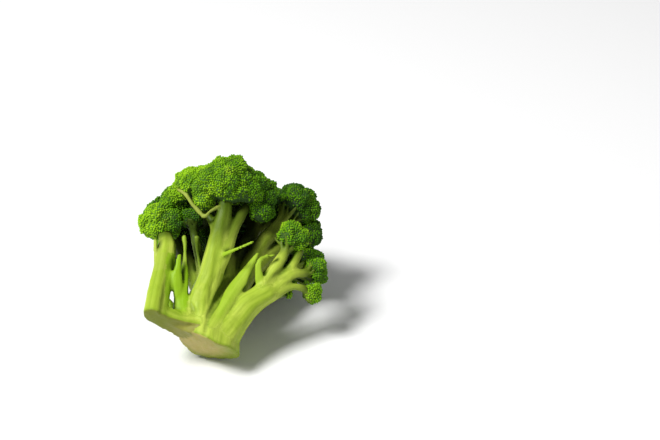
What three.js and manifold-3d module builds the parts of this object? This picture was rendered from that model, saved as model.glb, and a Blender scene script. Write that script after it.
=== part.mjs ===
// A head of broccoli, cut from its plant and lying on its side.
// The stalk is one body: the short trunk, its branches, their twigs and the stubs of small leaves.
// Each branch carries one floret, a separate body whose lobes are covered with raised buds.
// Millimetres, +Z up. Places are measured from the point where the cut end of the trunk meets
// the table. The whole head is then moved so that its middle stands over the origin.
import * as THREE from 'three';
import { mergeVertices } from 'three/addons/utils/BufferGeometryUtils.js';
import { ConvexHull } from 'three/addons/math/ConvexHull.js';
import Module from 'manifold-3d';

const wasm = await Module();
wasm.setup();

// Driving dimensions
const trunkRadius = 22;
const trunkLength = 30;
const trunkAxis = new THREE.Vector3(0.14, 0.83, 0.54).normalize();
const trunkMiddle = new THREE.Vector3(-1.3, -9.4, 19.5);
const lowCut = {
  point: new THREE.Vector3(0, 0.5, 0),
  facing: new THREE.Vector3(-0.18, -0.73, -0.66).normalize(),
};
const cornerCut = {
  point: new THREE.Vector3(-13, -19.9, 34.4),
  facing: new THREE.Vector3(-0.45, -0.74, -0.5).normalize(),
};
const sideCut = {
  point: trunkMiddle,
  facing: new THREE.Vector3(-0.12, -0.895, -0.43).normalize(),
};
const crownHub = new THREE.Vector3(2, 5, 30);
const footRadius = 5;
const clearance = 0.35;
const goldenAngle = Math.PI * (3 - Math.sqrt(5));

// Florets: the middle of each, its radius across, how deep it is as a share of that, and the
// centre line of the stem that carries it, up to where its twigs fan out. A floret looks away
// from the crown's hub, unless it faces its own way, and underside is how round it is below.
// A floret or limb on the side was cut off by a blow of its own, and the trunk by two.
const florets = [
  {
    name: 'left', centre: [-35, 55.5, 74.5], radius: 16.5, flatness: 1,
    underside: 0.85, facing: [-0.2, 0.6, 0.75], side: true,
    stem: [[-36, -28, 40], [-34, 2, 51], [-32, 18, 59], [-31, 36, 67]], thickness: [7.8, 7.6, 7, 6.2],
  },
  {
    name: 'left_inner', centre: [-15.5, 57, 78.5], radius: 9.5, flatness: 1, underside: 0.8,
    stem: [[-3, 22, 38], [-9, 39, 56], [-13, 49, 69]], thickness: [4.8, 3.4, 2.8],
  },
  {
    name: 'top_left', centre: [-11.5, 72, 93.5], radius: 22, flatness: 0.7, facing: [-0.42, 0.6, 0.68],
    stem: [[5, 38, 75], [-2, 49, 83], [-10, 60, 89]], thickness: [4.6, 3.8, 3.2],
  },
  {
    name: 'top', centre: [10, 63, 101], radius: 20.5, flatness: 0.95, underside: 0.72,
    stem: [[-2, 18, 48], [3, 33, 66], [6, 41, 79], [8, 48, 87]], thickness: [8.6, 7.6, 6, 5.4],
  },
  {
    name: 'top_right', centre: [28, 71, 89], radius: 16.5, flatness: 1, underside: 0.7,
    stem: [[2, 22, 54], [9, 31, 66], [14, 43, 77], [19, 54, 82]], thickness: [5.4, 4.8, 4.2, 3.8],
  },
  {
    name: 'rear_right', centre: [56, 89, 69], radius: 17.5, flatness: 0.95,
    stem: [[10, 10, 28], [29, 53, 52], [43, 72, 62]], thickness: [8.4, 6, 5],
  },
  {
    name: 'rear_low', centre: [61, 85, 50], radius: 15, flatness: 1,
    stem: [[18, 30, 40], [38, 56, 49], [51, 71, 50]], thickness: [6, 4.6, 4],
  },
  {
    name: 'right_upper', centre: [54, 49, 66.5], radius: 13, flatness: 1, underside: 0.7,
    stem: [[32, 12, 43], [43, 26, 56], [48, 35, 60]], thickness: [5.6, 4.2, 3.8],
  },
  {
    name: 'right_middle', centre: [70, 40.5, 46], radius: 10.5, flatness: 1, underside: 0.7,
    stem: [[38, 14, 42], [53, 25, 51], [61, 31, 49]], thickness: [5.4, 3.8, 3.2],
  },
  {
    name: 'right_lower', centre: [67.5, 26, 36], radius: 8, flatness: 1, underside: 0.8,
    stem: [[42, 15, 42], [53, 19, 45.5], [62, 22, 43]], thickness: [4.2, 2.6, 2.2],
  },
  {
    name: 'right_tiny', centre: [51, 23, 38], radius: 3.4, flatness: 1,
    stem: [[39, 15, 39], [45, 19, 38.5], [48, 21, 38]], thickness: [2.8, 2, 1.6],
  },
  {
    name: 'middle', centre: [8, 93, 82], radius: 23, flatness: 0.85,
    stem: [[7, 36, 44], [8, 60, 58], [9, 74, 68]], thickness: [8, 6.4, 5.2],
  },
  {
    name: 'middle_low', centre: [30, 103, 57], radius: 24, flatness: 0.8,
    stem: [[8, 36, 42], [20, 66, 49], [26, 82, 53]], thickness: [8, 6, 5],
  },
  {
    name: 'back_left', centre: [-9, 106, 54], radius: 24, flatness: 0.8,
    stem: [[6, 36, 40], [1, 70, 46], [-3, 87, 49]], thickness: [8, 6, 5],
  },
  {
    name: 'side_upper', centre: [-36, 83, 61], radius: 19, flatness: 0.88,
    stem: [[-2, 14, 34], [-18, 48, 47], [-27, 66, 55]], thickness: [7, 5.4, 4.4],
  },
  {
    name: 'side_lower', centre: [-27, 97, 35], radius: 19.5, flatness: 0.88,
    stem: [[-2, 14, 28], [-13, 52, 33], [-20, 74, 35]], thickness: [7.4, 5.6, 4.6],
  },
  {
    name: 'low_left', centre: [-3, 98, 19], radius: 20.5, flatness: 0.88, foot: true,
    stem: [[1, 12, 24], [-1, 54, 26], [-2, 79, 23]], thickness: [8, 6, 5],
  },
  {
    name: 'low_middle', centre: [19, 107, 32], radius: 20.5, flatness: 0.85,
    stem: [[5, 30, 32], [11, 64, 35], [15, 86, 35]], thickness: [7.4, 5.6, 4.6],
  },
  {
    name: 'low_right', centre: [41, 94, 19], radius: 21, flatness: 0.88, foot: true,
    stem: [[5, 12, 24], [23, 52, 26], [33, 74, 23]], thickness: [8, 6, 5],
  },
  {
    name: 'side_right', centre: [61, 78, 29], radius: 17.5, flatness: 0.92,
    stem: [[8, 14, 26], [34, 46, 31], [48, 62, 30]], thickness: [7.4, 5.6, 4.6],
  },
];

// Limbs that fork before they reach a floret: up, right, across to the left stem, on behind,
// and a second one into the upper floret at the right.
const limbs = [
  { path: [[-7, -8, 26], [-5, 10, 42], [1, 26, 57]], thickness: [14, 10.6, 5] },
  { path: [[4, -14, 22], [17, -1, 32], [25, 7, 38], [37, 14, 43]], thickness: [14, 9.8, 9, 7] },
  { path: [[-4, -9, 25], [-20, -12, 34], [-34, -12, 43]], thickness: [15, 9, 7], side: true },
  { path: [[2, 6, 26], [6, 30, 40], [8, 44, 48]], thickness: [14, 11, 8.6] },
  { path: [[37, 14, 44], [53, 29, 54], [60, 43, 60]], thickness: [4.4, 3, 2.4] },
];

// Stubs of small leaves: flat, with the wide side turned to facing, and cut or broken off short.
const leafStubs = [
  {
    path: [[1, -4, 29], [12, 11, 43], [22, 23, 52], [31, 36, 62]],
    width: [8, 5.6, 4, 1.4], depth: [5, 3.4, 2.4, 1], facing: [-0.4, -0.8, 0.5],
  },
  {
    path: [[-17, -12, 33], [-19, 5, 47], [-18, 18, 56], [-18, 30, 65]],
    width: [8.5, 4.8, 3, 1], depth: [4.5, 2.6, 1.8, 0.8], facing: [0, -0.9, 0.5],
  },
  {
    path: [[6, 27, 65], [18, 21, 74], [29, 22, 79]],
    width: [2, 1.3, 0.9], depth: [1.4, 0.9, 0.6], facing: [0, -0.6, 0.8],
  },
  {
    path: [[35, 14, 45], [32, 19, 58], [34, 24, 65], [43, 27, 66]],
    width: [4.4, 2.6, 1.7, 0.9], depth: [2, 1.1, 0.8, 0.6], facing: [0, -1, 0.2],
  },
  {
    path: [[-14, 2, 26], [-30, 22, 32], [-41, 33, 41]],
    width: [5, 3.4, 1.2], depth: [3, 1.8, 0.8], facing: [-0.8, 0.3, -0.4],
  },
];

const vector = ([x, y, z]) => new THREE.Vector3(x, y, z);

// A repeatable number from 0 to 1 for each whole number.
function scatter(seed) {
  const wave = Math.sin(seed * 127.1 + 11.7) * 43758.5453;
  return wave - Math.floor(wave);
}

// Count directions spread evenly over a ball by the golden angle, from the top down to downTo.
function spreadDirections(count, downTo, startAngle) {
  return Array.from({ length: count }, (_, k) => {
    const height = 1 - (downTo * (k + 0.5)) / count;
    const flat = Math.sqrt(1 - height ** 2);
    const angle = startAngle + k * goldenAngle;
    return new THREE.Vector3(flat * Math.cos(angle), flat * Math.sin(angle), height);
  });
}

// A closed geometry as a solid that can be joined and cut.
function solidFrom(geometry) {
  const bare = geometry.clone();
  bare.deleteAttribute('normal');
  bare.deleteAttribute('uv');
  const merged = mergeVertices(bare, 1e-4);
  return new wasm.Manifold(new wasm.Mesh({
    numProp: 3,
    vertProperties: new Float32Array(merged.attributes.position.array),
    triVerts: new Uint32Array(merged.index.array),
  }));
}

// A solid as a geometry with flat faces.
function geometryFrom(solid) {
  const mesh = solid.getMesh();
  const geometry = new THREE.BufferGeometry();
  geometry.setAttribute('position', new THREE.BufferAttribute(new Float32Array(mesh.vertProperties), 3));
  geometry.setIndex(new THREE.BufferAttribute(new Uint32Array(mesh.triVerts), 1));
  return geometry;
}

// The value at share (0 to 1) of a list of values spread evenly along a path.
function valueAlong(values, share) {
  const place = share * (values.length - 1);
  const first = Math.min(Math.floor(place), values.length - 2);
  return THREE.MathUtils.lerp(values[first], values[first + 1], place - first);
}

// A tapered limb: a cylinder bent along a smooth curve. With facing, its section is a flat oval
// whose wide side is turned that way, and otherwise it is round.
function limb({ path, thickness, width = thickness, depth = width, facing, sides = 8, steps }) {
  const curve = new THREE.CatmullRomCurve3(path.map(vector));
  const stepLength = 1.8 * Math.max(...width) + 4;
  steps ??= Math.max(2, Math.round(curve.getLength() / stepLength));
  const frames = curve.computeFrenetFrames(steps, false);
  const geometry = new THREE.CylinderGeometry(1, 1, 1, sides, steps);
  const corners = geometry.attributes.position;
  for (let i = 0; i < corners.count; i++) {
    const share = THREE.MathUtils.clamp(corners.getY(i) + 0.5, 0, 1);
    const step = Math.round(share * steps);
    const tangent = frames.tangents[step];
    const across = frames.normals[step].clone();
    if (facing) {
      across.crossVectors(vector(facing), tangent).normalize();
    }
    const outward = new THREE.Vector3().crossVectors(across, tangent);
    const corner = curve.getPointAt(share);
    corner.addScaledVector(across, corners.getX(i) * valueAlong(width, share));
    corner.addScaledVector(outward, corners.getZ(i) * valueAlong(depth, share));
    corners.setXYZ(i, corner.x, corner.y, corner.z);
  }
  return solidFrom(geometry);
}

// What every floret needs for its shape: which way it looks, its lobes and how fine its buds are.
function grow(floret, number) {
  const middle = vector(floret.centre);
  const outward = (floret.facing ? vector(floret.facing) : middle.clone().sub(crownHub)).normalize();
  const turn = new THREE.Quaternion().setFromUnitVectors(new THREE.Vector3(0, 0, 1), outward);
  const budSpacing = THREE.MathUtils.clamp(0.4 * floret.radius, 2.6, 7.6);
  const underside = floret.underside ?? 0.5;
  const lobes = lobesOf(floret.radius, number, turn);
  return { ...floret, number, middle, outward, turn, budSpacing, underside, lobes };
}

// Lobes: balls spread over the upper part of a floret, uneven in size.
function lobesOf(radius, number, turn) {
  const lobeRadius = 0.43 * radius;
  const lobeReach = radius - lobeRadius;
  const downTo = 1.2;
  const lobeWidth = 9.5;
  const count = Math.max(4, Math.round((2 * Math.PI * downTo * lobeReach ** 2) / lobeWidth ** 2));
  return spreadDirections(count, downTo, number).map((place, k) => ({
    place: place.applyQuaternion(turn).multiplyScalar(lobeReach * (0.94 + 0.14 * scatter(number * 31 + k))),
    radius: lobeRadius * (0.9 + 0.25 * scatter(number * 17 + k + 5)),
  }));
}

// Flat limits of a floret: the table, and each neighbour that presses on it, which leaves either
// of the two a part of its own radius.
function limitsOf(floret, all) {
  const leastShare = 0.45;
  const limits = [{ facing: new THREE.Vector3(0, 0, -1), distance: floret.middle.z }];
  for (const other of all) {
    const between = other.middle.clone().sub(floret.middle);
    const apart = between.length();
    if (other !== floret && apart < 1.25 * (floret.radius + other.radius)) {
      const meeting = (apart ** 2 + floret.radius ** 2 - other.radius ** 2) / (2 * apart);
      const least = leastShare * floret.radius;
      const most = apart - leastShare * other.radius;
      const distance = THREE.MathUtils.clamp(meeting, least, most) - clearance / 2;
      limits.push({ facing: between.normalize(), distance });
    }
  }
  return limits;
}

// How far a floret reaches from its middle in a direction, before its buds are raised. Its lobes
// make a round body with a shallow underside, flattened along the way the floret looks.
function floretReach(floret, trueDirection) {
  const rise = trueDirection.dot(floret.outward);
  const direction = trueDirection.clone().addScaledVector(floret.outward, rise / floret.flatness - rise);
  const stretch = direction.length();
  direction.divideScalar(stretch);
  let reach = 0.76 * floret.radius;
  for (const lobe of floret.lobes) {
    const along = direction.dot(lobe.place);
    const inside = along ** 2 - lobe.place.lengthSq() + lobe.radius ** 2;
    if (inside > 0) {
      reach = Math.max(reach, along + Math.sqrt(inside));
    }
  }
  const height = direction.dot(floret.outward);
  if (height < 0) {
    const flat = Math.sqrt(1 - height ** 2);
    reach = Math.min(reach, floret.radius / Math.hypot(flat, height / floret.underside));
  }
  return reach / stretch;
}

// The reach kept inside the limits. A floret that bears on the table has a small flat foot there.
function limitedReach(floret, reach, direction, limits) {
  const toTable = floret.middle.z / Math.max(-direction.z, 1e-6);
  if (floret.foot && toTable * Math.hypot(direction.x, direction.y) < footRadius) {
    return toTable;
  }
  let limited = reach;
  for (const { facing, distance } of limits) {
    const toward = direction.dot(facing);
    if (toward > 0) {
      limited = Math.min(limited, distance / toward);
    }
  }
  return limited;
}

// Directions of the buds, with few where nothing shows: under the floret and where a neighbour
// presses on it. A foot has a middle and a ring of its own.
function budDirections(floret, limits) {
  const undersideFrom = -0.5;
  const hiddenDepth = 3;
  const sparseStep = 4;
  const count = Math.round((4 * Math.PI * floret.radius ** 2) / (0.87 * floret.budSpacing ** 2)) + 8;
  const directions = spreadDirections(count, 2, 0).filter((direction, i) => {
    const underneath = direction.z < undersideFrom;
    direction.applyQuaternion(floret.turn);
    const reach = floretReach(floret, direction);
    const pressed = limitedReach(floret, reach, direction, limits) < reach - hiddenDepth;
    return !(underneath || pressed) || i % sparseStep === 0;
  });
  if (floret.foot) {
    directions.push(new THREE.Vector3(0, 0, -1));
    for (let k = 0; k < 6; k++) {
      const angle = (k * Math.PI) / 3;
      const rim = new THREE.Vector3(Math.cos(angle), Math.sin(angle), 0).multiplyScalar(0.98 * footRadius);
      directions.push(rim.setZ(-floret.middle.z).normalize());
    }
  }
  return directions;
}

// Whether three directions turn the same way round as the outside of a body.
function turnsOutward(a, b, c) {
  const leastTurn = 1e-5;
  return new THREE.Vector3().crossVectors(a, b).dot(c) > leastTurn;
}

// A floret as one closed body. Each bud is a low pyramid: its tip stands on the floret, and the
// valleys round it run through the middles of the triangles between neighbouring tips. Where
// tips are spread too unevenly for that, a ridge joins the two tips instead.
function floretGeometry(floret, limits, extra = 0) {
  const hull = new ConvexHull().setFromPoints(budDirections(floret, limits));
  const relief = 0.27 * floret.budSpacing;
  const corners = [];
  const place = (direction, raised) => {
    const reach = limitedReach(floret, floretReach(floret, direction) + raised, direction, limits) + extra;
    corners.push(...floret.middle.clone().addScaledVector(direction, reach).toArray());
    return corners.length / 3 - 1;
  };
  const tips = new Map();
  const valleys = new Map();
  for (const face of hull.faces) {
    const middle = new THREE.Vector3();
    let edge = face.edge;
    do {
      const tip = edge.head().point;
      middle.add(tip);
      if (!tips.has(tip)) {
        tips.set(tip, place(tip, relief / 2));
      }
      edge = edge.next;
    } while (edge !== face.edge);
    valleys.set(face, { middle: middle.normalize(), corner: place(middle, -relief / 2) });
  }
  const triangles = [];
  for (const face of hull.faces) {
    const inside = valleys.get(face);
    let edge = face.edge;
    do {
      const beyond = valleys.get(edge.twin.face);
      const [tail, tip] = [edge.tail().point, edge.head().point];
      const tailEven = turnsOutward(tail, beyond.middle, inside.middle);
      const tipEven = turnsOutward(tip, inside.middle, beyond.middle);
      triangles.push(tips.get(tail), tailEven && tipEven ? beyond.corner : tips.get(tip), inside.corner);
      edge = edge.next;
    } while (edge !== face.edge);
  }
  const geometry = new THREE.BufferGeometry();
  geometry.setAttribute('position', new THREE.Float32BufferAttribute(corners, 3));
  geometry.setIndex(triangles);
  return geometry;
}

// The stem of a floret, thinning on to the floret's middle, and the twigs that fan out from it
// to the lowest lobes.
function branchOf(floret) {
  const fork = vector(floret.stem.at(-1));
  const start = fork.clone().lerp(vector(floret.stem.at(-2)), 0.25);
  const forkRadius = floret.thickness.at(-1);
  const count = Math.round(floret.radius / 6);
  const twigs = floret.lobes.slice(-count).map((lobe) => {
    const end = floret.middle.clone().addScaledVector(lobe.place, 0.85);
    const bend = fork.clone().lerp(end, 0.4).lerp(floret.middle, 0.12);
    return {
      path: [start.toArray(), bend.toArray(), end.toArray()],
      thickness: [0.7 * forkRadius, 0.5 * forkRadius, 0.42 * forkRadius],
      sides: 4,
    };
  });
  const stem = {
    path: [...floret.stem, floret.centre],
    thickness: [...floret.thickness, 0.6 * forkRadius],
    sides: floret.radius > 9 ? 6 : 5,
    side: floret.side,
  };
  return [stem, ...twigs];
}

// A slab so large that cutting with it trims everything on one side of a plane.
function trimmer({ point, facing }) {
  const side = 400;
  const slab = new THREE.BoxGeometry(side, side, side);
  slab.translate(0, 0, side / 2);
  slab.applyQuaternion(new THREE.Quaternion().setFromUnitVectors(new THREE.Vector3(0, 0, 1), facing));
  slab.translate(point.x, point.y, point.z);
  return solidFrom(slab);
}

// Limbs joined, less the ends that the knife took off.
function joined(pieces, cuts) {
  const whole = pieces.map(limb).reduce((before, piece) => before.add(piece));
  return cuts.reduce((rest, cut) => rest.subtract(trimmer(cut)), whole);
}

// The stalk: everything pale green, joined, trimmed by the knife and the table, and kept clear
// of the florets, which close round the ends of its twigs.
function stalkSolid(grown, limitsByFloret) {
  const overlength = 20;
  const trunkStart = trunkMiddle.clone().addScaledVector(trunkAxis, -overlength);
  const trunkEnd = trunkMiddle.clone().addScaledVector(trunkAxis, trunkLength);
  const trunk = {
    path: [trunkStart.toArray(), trunkMiddle.toArray(), trunkEnd.toArray()],
    thickness: [trunkRadius, trunkRadius, 0.86 * trunkRadius, 0.5 * trunkRadius],
    sides: 16,
    steps: 5,
  };
  const stubs = leafStubs.map((stub) => ({ ...stub, sides: 6 }));
  const pieces = [trunk, ...limbs, ...stubs, ...grown.flatMap(branchOf)];
  const onSide = pieces.filter((piece) => piece.side);
  const onTrunk = pieces.filter((piece) => !piece.side);
  let stalk = joined(onTrunk, [lowCut, cornerCut]).add(joined(onSide, [sideCut]));
  stalk = stalk.subtract(trimmer({ point: new THREE.Vector3(), facing: new THREE.Vector3(0, 0, -1) }));
  grown.forEach((floret, i) => {
    stalk = stalk.subtract(solidFrom(floretGeometry(floret, limitsByFloret[i], 1.5 * clearance)));
  });
  const bodies = stalk.decompose().sort((a, b) => b.volume() - a.volume());
  return bodies[0];
}

const stalkMaterial = new THREE.MeshStandardMaterial({ color: 0xa9c24a, roughness: 0.45, metalness: 0 });
const floretMaterial = new THREE.MeshStandardMaterial({ color: 0x3d6b1e, roughness: 0.75, metalness: 0 });

const head = new THREE.Group();
const grown = florets.map(grow);
const limitsByFloret = grown.map((floret) => limitsOf(floret, grown));
const stalk = new THREE.Mesh(geometryFrom(stalkSolid(grown, limitsByFloret)), stalkMaterial);
stalk.name = 'stalk';
head.add(stalk);
grown.forEach((floret, i) => {
  const mesh = new THREE.Mesh(floretGeometry(floret, limitsByFloret[i]), floretMaterial);
  mesh.name = `floret_${floret.name}`;
  head.add(mesh);
});

const middle = new THREE.Box3().setFromObject(head, true).getCenter(new THREE.Vector3());
head.position.set(-middle.x, -middle.y, 0);

export default head;
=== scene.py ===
import math
import bmesh
import bpy
import numpy as np
from mathutils import Matrix, Vector
from mathutils.bvhtree import BVHTree
from mathutils.kdtree import KDTree


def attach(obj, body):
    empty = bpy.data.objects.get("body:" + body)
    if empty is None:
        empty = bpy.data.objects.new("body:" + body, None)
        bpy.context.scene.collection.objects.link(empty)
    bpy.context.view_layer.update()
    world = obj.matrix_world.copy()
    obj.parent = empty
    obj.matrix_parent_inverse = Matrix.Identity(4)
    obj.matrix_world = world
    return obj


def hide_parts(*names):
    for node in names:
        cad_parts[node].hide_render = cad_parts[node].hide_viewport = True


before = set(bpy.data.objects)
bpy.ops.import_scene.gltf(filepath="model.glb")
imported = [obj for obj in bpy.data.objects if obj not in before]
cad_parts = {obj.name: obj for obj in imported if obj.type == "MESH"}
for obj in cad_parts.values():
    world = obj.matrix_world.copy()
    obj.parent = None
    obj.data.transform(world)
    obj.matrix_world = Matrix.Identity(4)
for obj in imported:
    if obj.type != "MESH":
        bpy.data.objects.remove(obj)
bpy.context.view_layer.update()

# The head is laid out in millimetres from the point where its cut end meets the table.
# Adding frameShift and dividing by a thousand gives a place in the frame.
frameShift = np.array([-12.29, -48.73, 0.0])
millimetre = 0.001


def toFrame(point):
    return Vector(((np.asarray(point, dtype=float) + frameShift) * millimetre).tolist())


# Name, middle, radius, way it looks (None means away from the hub), stem up to the fork,
# and the stem's radii
crownHub = (2, 5, 30)
florets = [
    ("left", (-35, 55.5, 74.5), 16.5, (-0.2, 0.6, 0.75),
     [(-36, -28, 40), (-34, 2, 51), (-32, 18, 59), (-31, 36, 67)], (7.8, 7.6, 7, 6.2)),
    ("left_inner", (-15.5, 57, 78.5), 9.5, None, [(-3, 22, 38), (-9, 39, 56), (-13, 49, 69)],
     (4.8, 3.4, 2.8)),
    ("top_left", (-11.5, 72, 93.5), 22, (-0.42, 0.6, 0.68), [(5, 38, 75), (-2, 49, 83), (-10, 60, 89)],
     (3.8, 2.6, 2.2)),
    ("top", (10, 63, 101), 20.5, None, [(-2, 18, 48), (3, 33, 66), (6, 41, 79), (8, 48, 87)],
     (8.6, 7.6, 6, 5.4)),
    ("top_right", (28, 71, 89), 16.5, None, [(2, 22, 54), (9, 31, 66), (14, 43, 77), (19, 54, 82)],
     (5.4, 4.8, 4.2, 3.8)),
    ("rear_right", (56, 89, 69), 17.5, None, [(10, 10, 28), (29, 53, 52), (43, 72, 62)], (8.4, 6, 5)),
    ("rear_low", (61, 85, 50), 15, None, [(18, 30, 40), (38, 56, 49), (51, 71, 50)], (6, 4.6, 4)),
    ("right_upper", (54, 49, 66.5), 13, None, [(32, 12, 43), (43, 26, 56), (48, 35, 60)], (5.6, 4.2, 3.8)),
    ("right_middle", (70, 40.5, 46), 10.5, None, [(38, 14, 42), (53, 25, 51), (61, 31, 49)],
     (5.4, 3.8, 3.2)),
    ("right_lower", (67.5, 26, 36), 8, None, [(42, 15, 42), (53, 19, 45.5), (62, 22, 43)],
     (4.2, 2.6, 2.2)),
    ("right_tiny", (51, 23, 38), 3.4, None, [(39, 15, 39), (45, 19, 38.5), (48, 21, 38)], (2.8, 2, 1.6)),
    ("middle", (8, 93, 82), 23, None, [(7, 36, 44), (8, 60, 58), (9, 74, 68)], (8, 6.4, 5.2)),
    ("middle_low", (30, 103, 57), 24, None, [(8, 36, 42), (20, 66, 49), (26, 82, 53)], (8, 6, 5)),
    ("back_left", (-9, 106, 54), 24, None, [(6, 36, 40), (1, 70, 46), (-3, 87, 49)], (8, 6, 5)),
    ("side_upper", (-36, 83, 61), 19, None, [(-2, 14, 34), (-18, 48, 47), (-27, 66, 55)], (7, 5.4, 4.4)),
    ("side_lower", (-27, 97, 35), 19.5, None, [(-2, 14, 28), (-13, 52, 33), (-20, 74, 35)],
     (7.4, 5.6, 4.6)),
    ("low_left", (-3, 98, 19), 20.5, None, [(1, 12, 24), (-1, 54, 26), (-2, 79, 23)], (8, 6, 5)),
    ("low_middle", (19, 107, 32), 20.5, None, [(5, 30, 32), (11, 64, 35), (15, 86, 35)], (7.4, 5.6, 4.6)),
    ("low_right", (41, 94, 19), 21, None, [(5, 12, 24), (23, 52, 26), (33, 74, 23)], (8, 6, 5)),
    ("side_right", (61, 78, 29), 17.5, None, [(8, 14, 26), (34, 46, 31), (48, 62, 30)], (7.4, 5.6, 4.6)),
]

# Everything else that grows from the trunk: path, then the radii along it. The limb on the
# side was cut off by a blow of its own, and so was the left floret's stem that it carries.
limbs = [
    ([(-7, -8, 26), (-5, 10, 42), (1, 26, 57)], (14, 10.6, 5)),
    ([(4, -14, 22), (17, -1, 32), (25, 7, 38), (37, 14, 43)], (14, 9.8, 9, 7)),
    ([(2, 6, 26), (6, 30, 40), (8, 44, 48)], (14, 11, 8.6)),
    ([(37, 14, 44), (53, 29, 54), (60, 43, 60)], (4.4, 3, 2.4)),
]
sideLimb = ([(-4, -9, 25), (-20, -12, 34), (-34, -12, 43)], (15, 9, 7))
sideFloret = "left"

# Stubs of small leaves and torn strips: path, half widths, half depths, the way the wide side
# looks and how much greener than the stems they are, or below 0 how straw-pale
leafStubs = [
    ([(4, 47, 92), (-1.4, 42, 91), (-4.8, 41.5, 87.4), (-9.5, 45, 90.8), (-13.8, 48, 94.4), (-18, 52, 99.4),
      (-24, 58, 100)], (1.4, 1.1, 1.5, 1.9, 1.3, 1.7, 1), (1.2, 1.1, 1.2, 1.3, 1.1, 1.2, 1), (0, -1, 0.3),
     -0.6),
    ([(-18.3, 24, 60), (-18, 31, 67), (-18.8, 38, 73.4)], (1, 1.1, 1.8), (1, 1.1, 1.8), (0, -1, 0.3), 0.3),
    ([(-20, -1, 42), (-22, 8, 54), (-22.6, 15, 62), (-20.6, 22, 69)], (2.4, 4.2, 3.8, 1.4),
     (1.6, 1.8, 1.4, 0.8), (0.3, -1, 0.3), 0.8),
    ([(-7, 30, 52), (-10, 36, 62), (-10.7, 40, 72)], (1.6, 1.2, 1.9), (1.4, 1.2, 1.9), (0, -1, 0.3), 0.2),
    ([(-35, 17, 56), (-37.2, 25, 65.5), (-38, 33, 74)], (2.6, 1.6, 1.3), (2.2, 1.5, 1.2), (0, -1, 0.3),
     -0.3),
    ([(2, -15, 35.5), (10, 3, 42), (21, 21, 51), (31, 36, 62)], (5, 6.6, 5, 1.4), (3, 4.4, 3, 1),
     (-0.4, -0.8, 0.5), 0.4),
    ([(-17, -12, 33), (-19, 5, 47), (-18, 18, 56), (-18, 30, 65)], (8.5, 4.8, 3, 1), (4.5, 2.6, 1.8, 0.8),
     (0, -0.9, 0.5), 0.9),
    ([(6, 27, 65), (18, 21, 74), (29, 22, 79)], (2, 1.3, 0.9), (1.4, 0.9, 0.7), (0, -0.6, 0.8), 0.6),
    ([(35, 14, 45), (32, 19, 58), (34, 24, 65), (43, 27, 66)], (4.4, 2.6, 1.7, 0.9), (2, 1.2, 0.9, 0.7),
     (0, -1, 0.2), 0.5),
    ([(-14, 2, 26), (-30, 22, 32), (-41, 33, 41)], (5, 3.4, 1.2), (3, 1.8, 0.9), (-0.8, 0.3, -0.4), 0.7),
]

# Creases where two limbs meet: path along the skin, then radii
creases = [
    ([(-2, -26, 35), (-0.4, -13, 40.5), (3.6, -0.4, 44), (7.8, 14, 46), (10.9, 24, 48)],
     (0.6, 1.2, 2.2, 2.8, 2)),
    ([(-8.6, -14, 40.5), (-10.7, -6.5, 43.5), (-12.4, -2, 45.5)], (1.2, 1.6, 1)),
    ([(-30, -34, 44), (-28, -3.6, 55), (-26, 12, 63.2), (-25, 29, 71.2)], (2, 2.6, 2.6, 2)),
    ([(-33.5, 13.2, 67.8), (-34, 21, 71.5), (-34.5, 30, 75.6)], (0.8, 1.6, 2)),
    ([(-1.2, -18, 38.8), (0.6, -0.8, 45.8), (1.9, 10, 53), (3, 19.3, 63), (4, 27, 72), (5, 34, 81.5)],
     (0.5, 0.7, 1.4, 1.6, 1.4, 1)),
    ([(33.3, 9, 49.5), (38.2, 13.6, 52.4), (44.8, 17, 52.5), (52, 20, 53)], (0.8, 1.2, 1.3, 1)),
    ([(35, 12, 51.6), (39.9, 15, 53.6), (46.4, 22, 55.5), (53, 27, 57)], (0.8, 1.3, 1.5, 1.2)),
]

stalkSettings = {
    "trunkRadius": 22, "trunkLength": 30, "overlength": 20, "trunkAxis": (0.14, 0.83, 0.54),
    "trunkMiddle": (-1.3, -9.4, 19.5),
    # a point on each cut and the way it faces
    "trunkCuts": [((0, 0.5, 0), (-0.18, -0.73, -0.66)), ((-13, -19.9, 34.4), (-0.45, -0.74, -0.5))],
    "sideCuts": [((-1.3, -9.4, 19.5), (-0.12, -0.895, -0.43))],
    "cutHeart": (-9, -14, 23),  # the middle of the tan part of the cut
    "cutReach": (14, 27),       # mm from it over which the tan turns green
    "grid": 1.0,        # mm between samples of the skin
    "fillet": 2.0,      # mm over which two limbs flow together
    "ribDepth": 0.065,  # of a limb's radius
    "creaseEdge": 1.4,  # mm over which a crease is rounded
    "unevenness": 0.1,  # mm that the skin swells and sinks
    "cutWave": 0.35,    # mm that the knife left uneven
    "budGlow": 14,      # mm from the buds over which the flesh turns greener and darker, partly its own green and partly painted shade
    # painted shade: where the crown's shadow is painted darkest on the stems, and from how near to how far that
    # painted shade fades
    "shades": [((8, 44, 90), 12, 27), ((-9, 44, 63), 9, 19), ((-16, 54, 79), 8, 20)],
    "smoothing": 2,
    "seed": 11,
}


def unit(values):
    values = np.asarray(values, dtype=float)
    return values / np.linalg.norm(values)


def smoothPath(points, values, count):
    # a Catmull-Rom curve through the points, with the values drawn evenly along it
    points = np.asarray(points, dtype=float)
    ends = np.vstack([2 * points[0] - points[1], points, 2 * points[-1] - points[-2]])
    shares = np.linspace(0, len(points) - 1, count)
    first = np.minimum(shares.astype(int), len(points) - 2)
    t = (shares - first)[:, None]
    a, b, c, d = ends[first], ends[first + 1], ends[first + 2], ends[first + 3]
    curve = 0.5 * (2 * b + (c - a) * t + (2 * a - 5 * b + 4 * c - d) * t ** 2
                   + (3 * b - a - 3 * c + d) * t ** 3)
    drawn = [np.interp(np.linspace(0, len(v) - 1, count), range(len(v)), v) for v in values]
    return curve, drawn


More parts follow.
